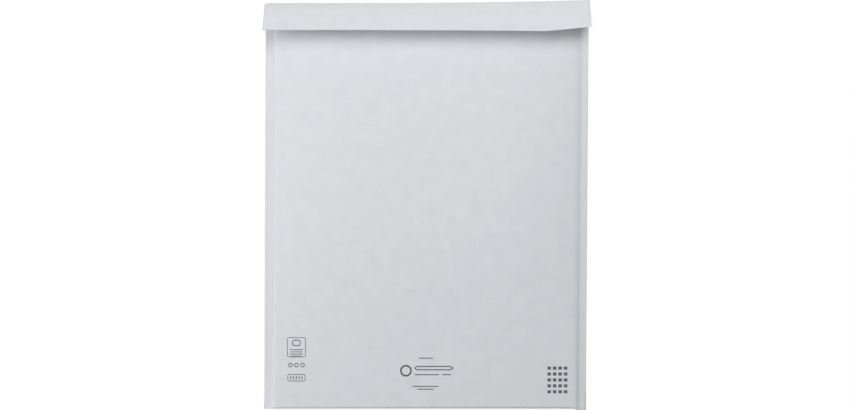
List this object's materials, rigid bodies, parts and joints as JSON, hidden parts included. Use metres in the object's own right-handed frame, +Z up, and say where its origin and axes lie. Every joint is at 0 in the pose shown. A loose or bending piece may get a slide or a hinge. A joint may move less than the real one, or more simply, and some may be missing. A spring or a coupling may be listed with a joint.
{
  "type": "padded envelope",
  "caption": "Large white padded envelope with a bubble film lining, empty, lying on its back with its self-seal flap folded over the mouth and springing up a little.",
  "frame": {"origin": "middle of the overall size, on the surface that the envelope lies on", "axes": "+X across the envelope, to the right as the picture shows it; +Y along it, from the foot fold to the flap's crease; +Z up, out of the front panel"},
  "size_m": [0.3744, 0.4712, 0.0355],
  "materials": {
    "white_paper": "matte, uncoated",
    "bubble_film": "clear glossy film",
    "hot_melt_glue": "tacky, clear amber",
    "liner_film": "smooth, silicone coated"
  },
  "bodies": {
    "root": {"outer_paper": "white_paper", "bubble_lining": "bubble_film", "adhesive_strip": "hot_melt_glue", "release_liner": "liner_film"}
  },
  "joints": []
}
